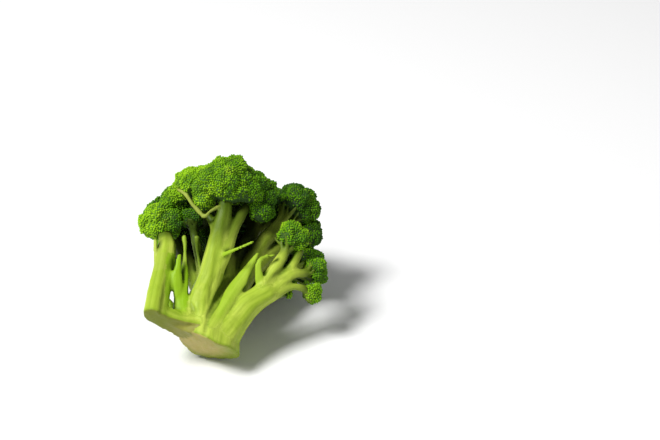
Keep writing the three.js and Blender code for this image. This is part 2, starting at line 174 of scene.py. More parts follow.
class Field:
    # signed distance to a growing shape, sampled on a grid in millimetres

    def __init__(self, lowest, highest, step):
        self.step = step
        self.lowest = np.asarray(lowest, dtype=float)
        self.shape = tuple(int(n) for n in np.ceil((np.asarray(highest) - self.lowest) / step) + 1)
        self.values = np.full(self.shape, 50.0, dtype=np.float32)
        self.strands = []

    def window(self, low, high):
        first = np.maximum(np.floor((low - self.lowest) / self.step).astype(int), 0)
        last = np.minimum(np.ceil((high - self.lowest) / self.step).astype(int) + 1, self.shape)
        return tuple(slice(a, max(a, b)) for a, b in zip(first, last))

    def places(self, window):
        axes = [self.lowest[i] + self.step * np.arange(s.start, s.stop) for i, s in enumerate(window)]
        return np.stack(np.meshgrid(*axes, indexing="ij"), axis=-1).astype(np.float32)


def addLimb(field, path, width, depth, facing, ribs, fillet, turn):
    # a limb's own distance, made of short straight stretches, flows into the rest
    length = np.linalg.norm(np.diff(np.asarray(path, dtype=float), axis=0), axis=1).sum()
    count = max(5, int(length / 4) + 2)
    curve, (widths, depths) = smoothPath(path, (width, depth), count)
    margin = max(widths.max(), depths.max()) + 2 * fillet
    window = field.window(curve.min(axis=0) - margin, curve.max(axis=0) + margin)
    if any(s.stop <= s.start for s in window):
        return
    own = np.full([s.stop - s.start for s in window], 50.0, dtype=np.float32)
    places = field.places(window)
    chord = unit(curve[-1] - curve[0])
    across = unit(np.cross(facing if facing is not None else (0.3, 0.9, -0.3), chord))
    over = np.cross(across, chord)
    way = np.gradient(curve, axis=0)
    way /= np.linalg.norm(way, axis=1)[:, None]
    field.strands.append((curve, way, np.tile(across, (count, 1)), widths))
    for i in range(count - 1):
        a, b = curve[i], curve[i + 1]
        reach = max(widths[i], widths[i + 1], depths[i], depths[i + 1]) + 2 * fillet
        inner = field.window(np.minimum(a, b) - reach, np.maximum(a, b) + reach)
        part = tuple(slice(s.start - w.start, s.stop - w.start) for s, w in zip(inner, window))
        spots = places[part] - a.astype(np.float32)
        ab = (b - a).astype(np.float32)
        share = np.clip(spots @ ab / float(ab @ ab), 0, 1)
        spots -= share[..., None] * ab
        x, y = spots @ across.astype(np.float32), spots @ over.astype(np.float32)
        w = widths[i] + share * (widths[i + 1] - widths[i])
        d = depths[i] + share * (depths[i + 1] - depths[i])
        angle = np.arctan2(y, x)
        rib = 1 + ribs * (0.6 * np.cos(3 * angle + turn) + 0.4 * np.cos(7 * angle - 2.3 * turn))
        along = np.linalg.norm(spots, axis=-1)
        flat = np.sqrt((x / w) ** 2 + (y / d) ** 2) + 1e-6
        inPlane = np.sqrt(x * x + y * y) + 1e-6
        edge = inPlane / flat * rib
        np.minimum(own[part], along - edge, out=own[part])
    flow(field.values[window], own, fillet, field.values[window])


def flow(first, second, fillet, result):
    # the nearer of two distances, rounded where both are alike
    mix = np.clip(0.5 + 0.5 * (first - second) / fillet, 0, 1)
    result[...] = first * (1 - mix) + second * mix - fillet * mix * (1 - mix)


def beyond(places, cuts):
    # how far past the nearest cut each place is
    return np.max([(places - np.array(point, dtype=np.float32)) @ unit(facing).astype(np.float32)
                   for point, facing in cuts], axis=0)


def fibresOf(places, strands, root):
    # each place as the nearest limb has it: across, over and, much shortened, from the root
    centres, ways, acrosses, widths = (np.concatenate(part) for part in zip(*strands))
    centres, nearest = centres.astype(np.float32), []
    for part in np.array_split(places.astype(np.float32), 40):
        square = (part ** 2).sum(axis=1)[:, None] + (centres ** 2).sum(axis=1) - 2 * part @ centres.T
        nearest.append((np.sqrt(np.maximum(square, 0)) - widths).argmin(axis=1))
    nearest = np.concatenate(nearest)
    offset, way, across = places - centres[nearest], ways[nearest], acrosses[nearest]
    offset = offset - (offset * way).sum(axis=1)[:, None] * way
    across = across - (across * way).sum(axis=1)[:, None] * way
    across /= np.linalg.norm(across, axis=1)[:, None] + 1e-9
    over = np.cross(across, way)
    return np.stack([(offset * across).sum(axis=1), (offset * over).sum(axis=1),
                     0.06 * np.linalg.norm(places - root, axis=1)], axis=1)


def crowding(field, places, normals, reach):
    # how much of the room in front of each place is taken, from 0 to 1
    cell = (places + reach * normals - field.lowest) / field.step
    cell = np.clip(cell, 0, np.array(field.shape) - 1.001)
    low = cell.astype(int)
    share = cell - low
    room = np.zeros(len(places))
    for corner in np.ndindex(2, 2, 2):
        weight = np.prod(np.where(np.array(corner) == 1, share, 1 - share), axis=1)
        room += weight * field.values[tuple((low + corner).T)]
    return np.clip(1 - room / reach, 0, 1)


def surfaceOf(field):
    # one corner in each cell that the surface crosses, joined by a square across each crossed edge
    v = field.values
    inside = v < 0
    nx, ny, nz = v.shape
    filled = np.zeros((nx - 1, ny - 1, nz - 1), dtype=np.int8)
    offsets = [(i, j, k) for i in (0, 1) for j in (0, 1) for k in (0, 1)]
    for i, j, k in offsets:
        filled += inside[i:nx - 1 + i, j:ny - 1 + j, k:nz - 1 + k]
    cells = np.argwhere((filled > 0) & (filled < 8))
    number = np.full(filled.shape, -1, dtype=np.int64)
    number[tuple(cells.T)] = np.arange(len(cells))
    total = np.zeros((len(cells), 3))
    crossings = np.zeros(len(cells))
    for start in offsets:
        for axis in range(3):
            if start[axis] == 0:
                end = [start[n] + (n == axis) for n in range(3)]
                va = v[tuple((cells + start).T)]
                vb = v[tuple((cells + end).T)]
                crossed = (va < 0) != (vb < 0)
                share = np.where(crossed, va / np.where(crossed, va - vb, 1), 0)
                spot = np.tile(np.array(start, dtype=float), (len(cells), 1))
                spot[:, axis] += share
                total += np.where(crossed[:, None], spot, 0)
                crossings += crossed
    corners = field.lowest + field.step * (cells + total / crossings[:, None])
    squares = []
    for axis in range(3):
        b, c = (axis + 1) % 3, (axis + 2) % 3
        low = [slice(None)] * 3
        high = [slice(None)] * 3
        low[axis], high[axis] = slice(0, -1), slice(1, None)
        edges = np.argwhere(inside[tuple(low)] != inside[tuple(high)])
        edges = edges[(edges[:, b] > 0) & (edges[:, c] > 0) & (edges[:, b] < v.shape[b] - 1)
                      & (edges[:, c] < v.shape[c] - 1)]
        ring = []
        for db, dc in ((1, 1), (0, 1), (0, 0), (1, 0)):
            cell = edges.copy()
            cell[:, b] -= db
            cell[:, c] -= dc
            ring.append(number[tuple(cell.T)])
        ring = np.stack(ring, axis=1)
        leaving = inside[tuple(edges.T)]
        squares.append(np.where(leaving[:, None], ring, ring[:, ::-1]))
    return corners, np.vstack(squares)


def newPiece(name, corners, faces):
    mesh = bpy.data.meshes.new(name)
    mesh.from_pydata([tuple(c) for c in corners], [], [tuple(f) for f in faces])
    mesh.update()
    piece = bpy.data.objects.new(name, mesh)
    bpy.context.scene.collection.objects.link(piece)
    return piece


def cornersOf(mesh):
    places = np.empty(len(mesh.vertices) * 3)
    mesh.vertices.foreach_get("co", places)
    return places.reshape(-1, 3)


def normalsOf(mesh):
    normals = np.empty(len(mesh.vertices) * 3)
    mesh.vertices.foreach_get("normal", normals)
    return normals.reshape(-1, 3)


def setCorners(mesh, places):
    mesh.vertices.foreach_set("co", np.ascontiguousarray(places, dtype=np.float32).ravel())
    mesh.update()


def edgesOf(mesh):
    edges = np.empty(len(mesh.edges) * 2, dtype=np.int64)
    mesh.edges.foreach_get("vertices", edges)
    return edges.reshape(-1, 2)


def relax(mesh, rounds, share=0.5):
    # every corner moves towards the middle of its neighbours, then half as far back again
    edges = edgesOf(mesh)
    places = cornersOf(mesh)
    count = np.bincount(edges.ravel(), minlength=len(places))[:, None]
    for k in range(2 * rounds):
        total = np.zeros_like(places)
        for n in range(3):
            total[:, n] = (np.bincount(edges[:, 0], places[edges[:, 1], n], len(places))
                           + np.bincount(edges[:, 1], places[edges[:, 0], n], len(places)))
        move = share if k % 2 == 0 else -0.55 * share
        places += move * (total / np.maximum(count, 1) - places)
    setCorners(mesh, places)


def store(mesh, name, values):
    layer = mesh.attributes.new(name, "FLOAT", "POINT")
    layer.data.foreach_set("value", np.ascontiguousarray(values, dtype=np.float32))


def smoothShade(mesh):
    mesh.polygons.foreach_set("use_smooth", [True] * len(mesh.polygons))


def lookOf(floret):
    name, middle, radius, facing, stem, radii = floret
    return unit(facing) if facing else unit(np.subtract(middle, crownHub))


twigSettings = {
    "leastRadius": 6,      # mm, smaller florets have none
    "covered": ("left", "top", "top_left", "top_right"),  # their forks stay inside the crown
    "perRadius": 0.5,      # twigs for each mm of a floret's radius
    "from": 15, "to": 74,  # degrees from straight below the floret
    "start": 0.44, "end": 0.24,  # of the fork's radius
    "thinnest": 1.05,      # mm
    "seed": 3,
}


def makeTwigs(floret, body, draw):
    # thin branches that fan out from the fork to the underside of the lobes
    name, middle, radius, look, stem, thickness = floret
    s = twigSettings
    if radius < s["leastRadius"] or name in s["covered"]:
        return []
    corners = cornersOf(body.data) / millimetre - frameShift
    surface = BVHTree.FromPolygons(corners.tolist(), [tuple(p.vertices) for p in body.data.polygons])
    below = -lookOf(floret)
    side = unit(np.cross(below, (0.3, 0.2, 0.9)))
    over = np.cross(below, side)
    middle, fork, before = np.array(middle, dtype=float), np.array(stem[-1]), np.array(stem[-2])
    along = unit(fork - before)
    twigs = []
    count = int(s["perRadius"] * radius) + 3
    for k in range(count):
        turn = k * math.pi * (3 - math.sqrt(5)) + draw.uniform(-0.3, 0.3)
        lean = math.radians(s["from"] + (s["to"] - s["from"]) * math.sqrt((k + 0.5) / count))
        way = math.cos(lean) * below + math.sin(lean) * (math.cos(turn) * side + math.sin(turn) * over)
        hit = surface.ray_cast(middle.tolist(), way.tolist())[0]
        if hit is None:
            continue
        end = middle + 0.95 * (np.array(hit) - middle)
        start = fork - along * draw.uniform(0, 0.45) * np.linalg.norm(fork - before)
        gap = np.linalg.norm(end - start)
        bend = start + 0.42 * (end - start) + 0.16 * gap * along
        radii = [max(s[key] * thickness[-1], s["thinnest"]) for key in ("start", "end")]
        twigs.append(([start, bend, end], radii))
        aside = unit(np.cross(way, along) + draw.uniform(-0.4, 0.4, 3))
        twigs.append(([bend, bend + 0.5 * (end - bend) + 0.1 * gap * aside, end + 0.28 * gap * aside],
                      [0.8 * radii[1], max(0.7 * radii[1], s["thinnest"])]))
    return twigs


def makeStalk(bodies, bodiesTree):
    s = stalkSettings
    draw = np.random.default_rng(s["seed"])
    size = ((-54, -40, -2), (84, 116, 112), s["grid"])
    field, side = Field(*size), Field(*size)
    axis, middle, radius = unit(s["trunkAxis"]), np.array(s["trunkMiddle"]), s["trunkRadius"]
    trunk = [middle - s["overlength"] * axis, middle, middle + s["trunkLength"] * axis]
    radii = (radius, radius, 0.86 * radius, 0.5 * radius)
    addLimb(field, trunk, radii, radii, None, 0.5 * s["ribDepth"], s["fillet"], 1.0)
    for path, thickness in limbs:
        addLimb(field, path, thickness, thickness, None, s["ribDepth"], s["fillet"], draw.uniform(0, 6))
    addLimb(side, sideLimb[0], sideLimb[1], sideLimb[1], None, s["ribDepth"], s["fillet"], 2.0)
    for name, centre, reach, look, stem, thickness in florets:
        inside = np.array(stem[-1]) + 0.6 * (np.array(centre) - stem[-1])
        path = stem + [tuple(inside)]
        thickness = thickness + (0.7 * thickness[-1],)
        carrier = side if name == sideFloret else field
        addLimb(carrier, path, thickness, thickness, None, s["ribDepth"], s["fillet"], draw.uniform(0, 6))
    leafShare = np.zeros(field.shape)
    for path, width, depth, look, green in leafStubs:
        bare = field.values.copy()
        addLimb(field, path, width, depth, look, 0.0, 0.5 * s["fillet"], 0.0)
        change = green * np.clip((bare - field.values) / 1.6, 0, 1)
        leafShare = np.where(np.abs(change) > np.abs(leafShare), change, leafShare)
    twigDraw = np.random.default_rng(twigSettings["seed"])
    for floret, body in zip(florets, bodies):
        for path, radii in makeTwigs(floret, body, twigDraw):
            addLimb(field, path, radii, radii, None, 0.0, 0.4 * s["fillet"], 0.0)
    hollows = Field(*size)
    for path, radii in creases:
        addLimb(hollows, path, radii, radii, None, 0.0, 0.5, 0.0)
    everywhere = field.places(tuple(slice(0, n) for n in field.shape))
    uneven = np.sin(everywhere @ np.float32([0.42, 0.2, -0.3])) * np.sin(everywhere @ np.float32([-0.2, 0.5, 0.36]))
    for part in (field, side):
        inverse = -part.values
        flow(inverse, hollows.values, s["creaseEdge"], inverse)
        part.values = s["unevenness"] * uneven - inverse
    wave = np.sin(everywhere[..., 0] * 0.55) * np.cos(everywhere[..., 2] * 0.4 + everywhere[..., 0] * 0.13)
    onSide = side.values < field.values
    for part, cuts in ((field, s["trunkCuts"]), (side, s["sideCuts"])):
        part.values = np.maximum(part.values, beyond(everywhere, cuts) + s["cutWave"] * wave)
    flow(field.values, side.values, 0.6 * s["fillet"], field.values)
    field.values = np.maximum(field.values, -everywhere[..., 2])
    corners, faces = surfaceOf(field)
    cells = tuple(np.round((corners - field.lowest) / field.step).astype(int).T)
    piece = newPiece("stalkSkin", (corners + frameShift) * millimetre, faces)
    relax(piece.data, s["smoothing"])
    places = cornersOf(piece.data) / millimetre - frameShift
    depths = np.where(onSide[cells], beyond(places, s["sideCuts"]), beyond(places, s["trunkCuts"]))
    store(piece.data, "cutDepth", depths)
    store(piece.data, "leafShare", leafShare[cells] * np.clip((-depths - 3) / 14, 0.25, 1))
    gap = np.linalg.norm(places - np.array(s["cutHeart"]), axis=1)
    store(piece.data, "cutEdge", np.interp(gap, s["cutReach"], (0, 1)))
    # painted shade of the crown on the stems beneath it
    shade = [np.interp(np.linalg.norm(places - np.array(spot), axis=1), (near, far), (1, 0))
             for spot, near, far in s["shades"]]
    store(piece.data, "paintedCrownShade", np.max(shade, axis=0))
    fibres = fibresOf(places, field.strands + side.strands, middle)
    fibre = piece.data.attributes.new("fibre", "FLOAT_VECTOR", "POINT")
    fibre.data.foreach_set("vector", fibres.astype(np.float32).ravel())
    store(piece.data, "sideCut", onSide[cells])
    normals = normalsOf(piece.data)
    # painted shade: how crowded the room in front of the skin is, which darkens the creases
    store(piece.data, "crease", 0.5 * crowding(field, places, normals, 2.2)
          + 0.5 * crowding(field, places, normals, 4.5))
    # painted shade: stems further back and lower in the head are painted darker, less so on the lit right side
    inward = (places[:, 1] - 0.45 * (places[:, 2] - 20) - 14) / 22
    lit = 1 - 0.7 * np.clip((places[:, 0] - 26) / 8, 0, 1)
    store(piece.data, "inward", np.clip(inward, 0, 1) * lit)
    gaps = [bodiesTree.find_nearest(place)[3] for place in cornersOf(piece.data)]
    store(piece.data, "nearBuds", np.clip(1 - np.array(gaps) / millimetre / s["budGlow"], 0, 1))
    smoothShade(piece.data)
    return piece


floretSettings = {
    "skinGrid": 1.4,      # mm, the voxel of the lobed body under the buds
    "smoothing": 3,
    "lobeStep": 8.5,      # mm between lobes
    "lobeRise": 1.5,      # mm
    "clusterStep": 4.4,   # mm between the little domes that the buds stand in
    "clusterRise": 1.1,   # mm
    "budSpacing": 1.16,   # mm, the least from bud to bud
    "budRadius": 0.84,    # mm
    "hiddenGap": 1.3,     # mm to a neighbour below which no bud shows
    "seed": 5,
}

# Extra lobes in the valleys between neighbours: middle and radius
fillers = {
    "top": [((-4, 60, 103), 11), ((24, 63, 99), 11), ((-6.5, 54, 93.5), 7.5)],
    "top_right": [((33, 61, 82.5), 8.5)],
    "left": [((-27, 72, 84), 10)],
    "back_left": [((-7, 84, 46.5), 8)],
}

# How light a floret is painted in its middle, from 0 for the dark ones at the back to 1, and how much
# more it is at its right edge: partly its own yellow, partly painted light and shade, with the back
# ones and most right edges painted darker as shaded
floretShadesAndTones = {
    "left": (1.05, -0.8), "left_inner": (0.05, 0), "top_left": (1.1, -0.2), "top": (0.85, -0.4),
    "top_right": (0.35, -0.2), "rear_right": (0.05, 0), "rear_low": (0.05, 0), "right_upper": (0.75, 0),
    "right_middle": (0.55, 0), "right_lower": (1.1, -0.3), "right_tiny": (0.8, 0),
}
# the florets not listed, hidden at the back, painted fairly dark as shaded
hiddenShadeAndTone = (0.35, 0)


def applied(piece):
    depsgraph = bpy.context.evaluated_depsgraph_get()
    mesh = bpy.data.meshes.new_from_object(piece.evaluated_get(depsgraph))
    piece.modifiers.clear()
    piece.data = mesh
    return piece


def mergedCopy(node, name, balls):
    # a CAD node's mesh is loose triangles, so its copy is joined at the corners first
    shape = bmesh.new()
    shape.from_mesh(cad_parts[node].data)
    bmesh.ops.remove_doubles(shape, verts=shape.verts, dist=1e-6)
    for centre, radius in balls:
        bmesh.ops.create_icosphere(shape, subdivisions=3, radius=radius * millimetre,
                                   matrix=Matrix.Translation(toFrame(centre)))
    mesh = bpy.data.meshes.new(name)
    shape.to_mesh(mesh)
    shape.free()
    piece = bpy.data.objects.new(name, mesh)
    bpy.context.scene.collection.objects.link(piece)
    return piece


def lobedBody(floret):
    name = floret[0]
    s = floretSettings
    piece = mergedCopy("floret_" + name, "floret_" + name + "_buds", fillers.get(name, ()))
    remesh = piece.modifiers.new("skin", "REMESH")
    remesh.mode = "VOXEL"
    remesh.voxel_size = s["skinGrid"] * millimetre
    applied(piece)
    relax(piece.data, s["smoothing"])
    return piece


def clusterCentres(places, step, draw):
    # corners picked so that no two are closer than the step
    order = draw.permutation(len(places))
    picked = []
    cells = {}
    for i in order:
        p = places[i]
        cell = tuple((p // step).astype(int))
        near = (cells.get((cell[0] + a, cell[1] + b, cell[2] + c), ())
                for a in (-1, 0, 1) for b in (-1, 0, 1) for c in (-1, 0, 1))
        if all(np.sum((p - q) ** 2) >= step * step for group in near for q in group):
            cells.setdefault(cell, []).append(p)
            picked.append(p)
    return picked


def domes(places, step, draw):
    # how high each place is on the nearest of many domes, from 0 to 1, and that dome's own tone
    centres = clusterCentres(places, step, draw)
    finder = KDTree(len(centres))
    for i, centre in enumerate(centres):
        finder.insert(centre, i)
    finder.balance()
    tones = draw.uniform(0, 1, len(centres))
    found = [finder.find(place) for place in places]
    gaps = np.array([f[2] for f in found])
    height = 1 - np.minimum(gaps / (0.68 * step), 1) ** 2
    return height, tones[[f[1] for f in found]]


def raiseClusters(piece, floret, others, draw):
    s = floretSettings
    mesh = piece.data
    places = cornersOf(mesh)
    normals = normalsOf(mesh)
    lobe, lobeTone = domes(places, s["lobeStep"] * millimetre, draw)
    cluster, clusterTone = domes(places, s["clusterStep"] * millimetre, draw)
    look = lookOf(floret)
    gap = s["hiddenGap"] * millimetre
    open_ = np.array([others.ray_cast(p + 2e-5 * n, n, gap)[0] is None for p, n in zip(places, normals)])
    share = open_ * np.clip((normals @ look + 0.95) / 0.3, 0, 1)
    # the buds that the head lies on are pressed flat
    share *= np.clip((places[:, 2] / millimetre - 1.2) / 2, 0, 1)
    raised = (lobe - 0.5) * s["lobeRise"] + (cluster - 0.3) * s["clusterRise"]
    grown = places + normals * (raised * millimetre * share)[:, None]
    grown[:, 2] = np.maximum(grown[:, 2], 0)
    setCorners(mesh, grown)
    store(mesh, "clusterTone", 0.5 * lobeTone + 0.5 * clusterTone)
    store(mesh, "clusterHeight", 0.5 * lobe + 0.5 * cluster)
    store(mesh, "budShare", share)
    # painted light and shade for the floret, darker towards its right edge where the slope is below 0
    tone, slope = floretShadesAndTones.get(floret[0], hiddenShadeAndTone)
    sideways = (places[:, 0] - toFrame(floret[1])[0]) / (floret[2] * millimetre)
    store(mesh, "floretTone", tone + slope * sideways)


def socketOf(node, name, kind=None):
    return next(s for s in node.inputs if s.name == name and s.enabled and (kind is None or s.type == kind))


def budTree():
    tree = bpy.data.node_groups.new("budScatter", "GeometryNodeTree")
    face = tree.interface
    face.new_socket("Geometry", in_out="INPUT", socket_type="NodeSocketGeometry")
    face.new_socket("Spacing", in_out="INPUT", socket_type="NodeSocketFloat")
    face.new_socket("Radius", in_out="INPUT", socket_type="NodeSocketFloat")
    face.new_socket("Seed", in_out="INPUT", socket_type="NodeSocketInt")
    face.new_socket("Bud Material", in_out="INPUT", socket_type="NodeSocketMaterial")
    face.new_socket("Skin Material", in_out="INPUT", socket_type="NodeSocketMaterial")
    face.new_socket("Geometry", in_out="OUTPUT", socket_type="NodeSocketGeometry")
    nodes, link = tree.nodes, tree.links.new
    given = nodes.new("NodeGroupInput")
    result = nodes.new("NodeGroupOutput")

    spread = nodes.new("GeometryNodeDistributePointsOnFaces")
    spread.distribute_method = "POISSON"
    share = nodes.new("GeometryNodeInputNamedAttribute")
    share.inputs["Name"].default_value = "budShare"
    link(given.outputs["Geometry"], spread.inputs["Mesh"])
    link(given.outputs["Spacing"], spread.inputs["Distance Min"])
    spread.inputs["Density Max"].default_value = 3e6
    link(share.outputs["Attribute"], spread.inputs["Density Factor"])
    link(given.outputs["Seed"], spread.inputs["Seed"])

    ball = nodes.new("GeometryNodeMeshUVSphere")
    ball.inputs["Segments"].default_value = 6
    ball.inputs["Rings"].default_value = 4
    link(given.outputs["Radius"], ball.inputs["Radius"])
    stretch = nodes.new("GeometryNodeTransform")
    stretch.inputs["Scale"].default_value = (1.0, 1.0, 1.25)
    link(ball.outputs["Mesh"], stretch.inputs["Geometry"])
    place = nodes.new("GeometryNodeInputPosition")
    parts = nodes.new("ShaderNodeSeparateXYZ")
    link(place.outputs[0], parts.inputs[0])
    rise = nodes.new("ShaderNodeMath")
    rise.operation = "DIVIDE"
    link(parts.outputs["Z"], rise.inputs[0])
    link(given.outputs["Radius"], rise.inputs[1])
    markRise = nodes.new("GeometryNodeStoreNamedAttribute")
    markRise.data_type, markRise.domain = "FLOAT", "POINT"
    markRise.inputs["Name"].default_value = "budRise"
    link(stretch.outputs["Geometry"], markRise.inputs["Geometry"])
    link(rise.outputs[0], socketOf(markRise, "Value"))

    size = nodes.new("FunctionNodeRandomValue")
    size.data_type = "FLOAT"
    socketOf(size, "Min").default_value = 0.72
    socketOf(size, "Max").default_value = 1.12
    link(given.outputs["Seed"], socketOf(size, "Seed"))
    copies = nodes.new("GeometryNodeInstanceOnPoints")
    link(spread.outputs["Points"], copies.inputs["Points"])
    link(markRise.outputs["Geometry"], copies.inputs["Instance"])
    link(spread.outputs["Rotation"], copies.inputs["Rotation"])
    link(next(o for o in size.outputs if o.enabled), copies.inputs["Scale"])
    tone = nodes.new("FunctionNodeRandomValue")
    tone.data_type = "FLOAT"
    markTone = nodes.new("GeometryNodeStoreNamedAttribute")
    markTone.data_type, markTone.domain = "FLOAT", "INSTANCE"
    markTone.inputs["Name"].default_value = "budTone"
    link(copies.outputs["Instances"], markTone.inputs["Geometry"])
    link(next(o for o in tone.outputs if o.enabled), socketOf(markTone, "Value"))

    realize = nodes.new("GeometryNodeRealizeInstances")
    link(markTone.outputs["Geometry"], realize.inputs["Geometry"])
    paintBuds = nodes.new("GeometryNodeSetMaterial")
    link(realize.outputs["Geometry"], paintBuds.inputs["Geometry"])
    link(given.outputs["Bud Material"], paintBuds.inputs["Material"])
    paintSkin = nodes.new("GeometryNodeSetMaterial")
    link(given.outputs["Geometry"], paintSkin.inputs["Geometry"])
    link(given.outputs["Skin Material"], paintSkin.inputs["Material"])
    join = nodes.new("GeometryNodeJoinGeometry")
    link(paintSkin.outputs["Geometry"], join.inputs["Geometry"])
    link(paintBuds.outputs["Geometry"], join.inputs["Geometry"])
    shade = nodes.new("GeometryNodeSetShadeSmooth")
    link(join.outputs["Geometry"], shade.inputs["Geometry"])
    link(shade.outputs["Geometry"], result.inputs["Geometry"])
    return tree


def growBuds(piece, tree, seed, budMaterial, skinMaterial):
    s = floretSettings
    modifier = piece.modifiers.new("buds", "NODES")
    modifier.node_group = tree
    values = {
        "Spacing": s["budSpacing"] * millimetre, "Radius": s["budRadius"] * millimetre, "Seed": seed,
        "Bud Material": budMaterial, "Skin Material": skinMaterial,
    }
    for item in tree.interface.items_tree:
        if item.in_out == "INPUT" and item.name in values:
            modifier[item.identifier] = values[item.name]
    return applied(piece)


def linear(red, green, blue):
    # a colour of 0 to 255 as seen, as the light it reflects
    return tuple(((v / 255 + 0.055) / 1.055) ** 2.4 if v > 10 else v / 3294.6 for v in (red, green, blue))


def plain(name, color, roughness):
    material = bpy.data.materials.new(name)
    material.use_nodes = True
    shader = material.node_tree.nodes["Principled BSDF"]
    shader.inputs["Base Color"].default_value = (*color, 1)
    shader.inputs["Roughness"].default_value = roughness
    return material


def add(tree, kind, settings=None, **inputs):
    # a node with its settings made and its inputs, named without their spaces, joined or set
    node = tree.nodes.new(kind)
    for key, value in (settings or {}).items():
        setattr(node, key, value)
    for key, value in inputs.items():
        if key.startswith("at"):
            socket = node.inputs[int(key[2:])]
        else:
            socket = next(s for s in node.inputs if s.enabled and s.name.replace(" ", "") == key)
        if isinstance(value, bpy.types.NodeSocket):
            tree.links.new(value, socket)
        else:
            socket.default_value = value
    return node


def attribute(tree, name):
    return add(tree, "ShaderNodeAttribute", {"attribute_name": name}).outputs["Fac"]


def ranged(tree, value, low, high, toLow=0.0, toHigh=1.0):
    # value from low to high becomes toLow to toHigh
    return add(tree, "ShaderNodeMapRange", None, Value=value, FromMin=low, FromMax=high, ToMin=toLow,
               ToMax=toHigh).outputs[0]


def math2(tree, operation, a, b):
    return add(tree, "ShaderNodeMath", {"operation": operation}, at0=a, at1=b).outputs[0]


def blended(tree, share, first, second, how="MIX"):
    first = first if isinstance(first, bpy.types.NodeSocket) else (*first, 1)
    second = second if isinstance(second, bpy.types.NodeSocket) else (*second, 1)
    node = add(tree, "ShaderNodeMix", {"data_type": "RGBA", "blend_type": how}, Factor=share)
    for socket, value in ((node.inputs[6], first), (node.inputs[7], second)):
        if isinstance(value, bpy.types.NodeSocket):
            tree.links.new(value, socket)
        else:
            socket.default_value = value
    return node.outputs[2]


def mottleGroup():
    # uneven growth: broad patches and a fine grain, both from 0 to 1
    tree = bpy.data.node_groups.new("plantMottle", "ShaderNodeTree")
    face = tree.interface
    face.new_socket("Vector", in_out="INPUT", socket_type="NodeSocketVector")
    face.new_socket("Patch Size", in_out="INPUT", socket_type="NodeSocketFloat")
    face.new_socket("Grain Size", in_out="INPUT", socket_type="NodeSocketFloat")
    face.new_socket("Patches", in_out="OUTPUT", socket_type="NodeSocketFloat")
    face.new_socket("Grain", in_out="OUTPUT", socket_type="NodeSocketFloat")
    given = tree.nodes.new("NodeGroupInput")
    result = tree.nodes.new("NodeGroupOutput")
    for size, output, detail in (("Patch Size", "Patches", 3.0), ("Grain Size", "Grain", 2.0)):
        scale = math2(tree, "DIVIDE", 1.0, given.outputs[size])
        cloud = add(tree, "ShaderNodeTexNoise", None, Vector=given.outputs["Vector"], Scale=scale,
                    Detail=detail, Roughness=0.55)
        tree.links.new(ranged(tree, cloud.outputs["Fac"], 0.3, 0.7), result.inputs[output])
    return tree


mottle = mottleGroup()


def mottled(tree, vector, patch, grain):
    node = add(tree, "ShaderNodeGroup", {"node_tree": mottle}, Vector=vector, PatchSize=patch,
               GrainSize=grain)
    return node.outputs["Patches"], node.outputs["Grain"]


fleshColors = {
    "pale": linear(190, 204, 84), "fresh": linear(136, 168, 24), "deep": linear(58, 84, 3),
    "inside": linear(18, 30, 4), "rind": linear(112, 140, 22), "leaf": linear(130, 174, 10),
    "olive": linear(62, 86, 4), "straw": linear(160, 172, 74), "dull": linear(112, 118, 40),
    "cut": linear(172, 158, 92), "cutDark": linear(148, 140, 58),
}


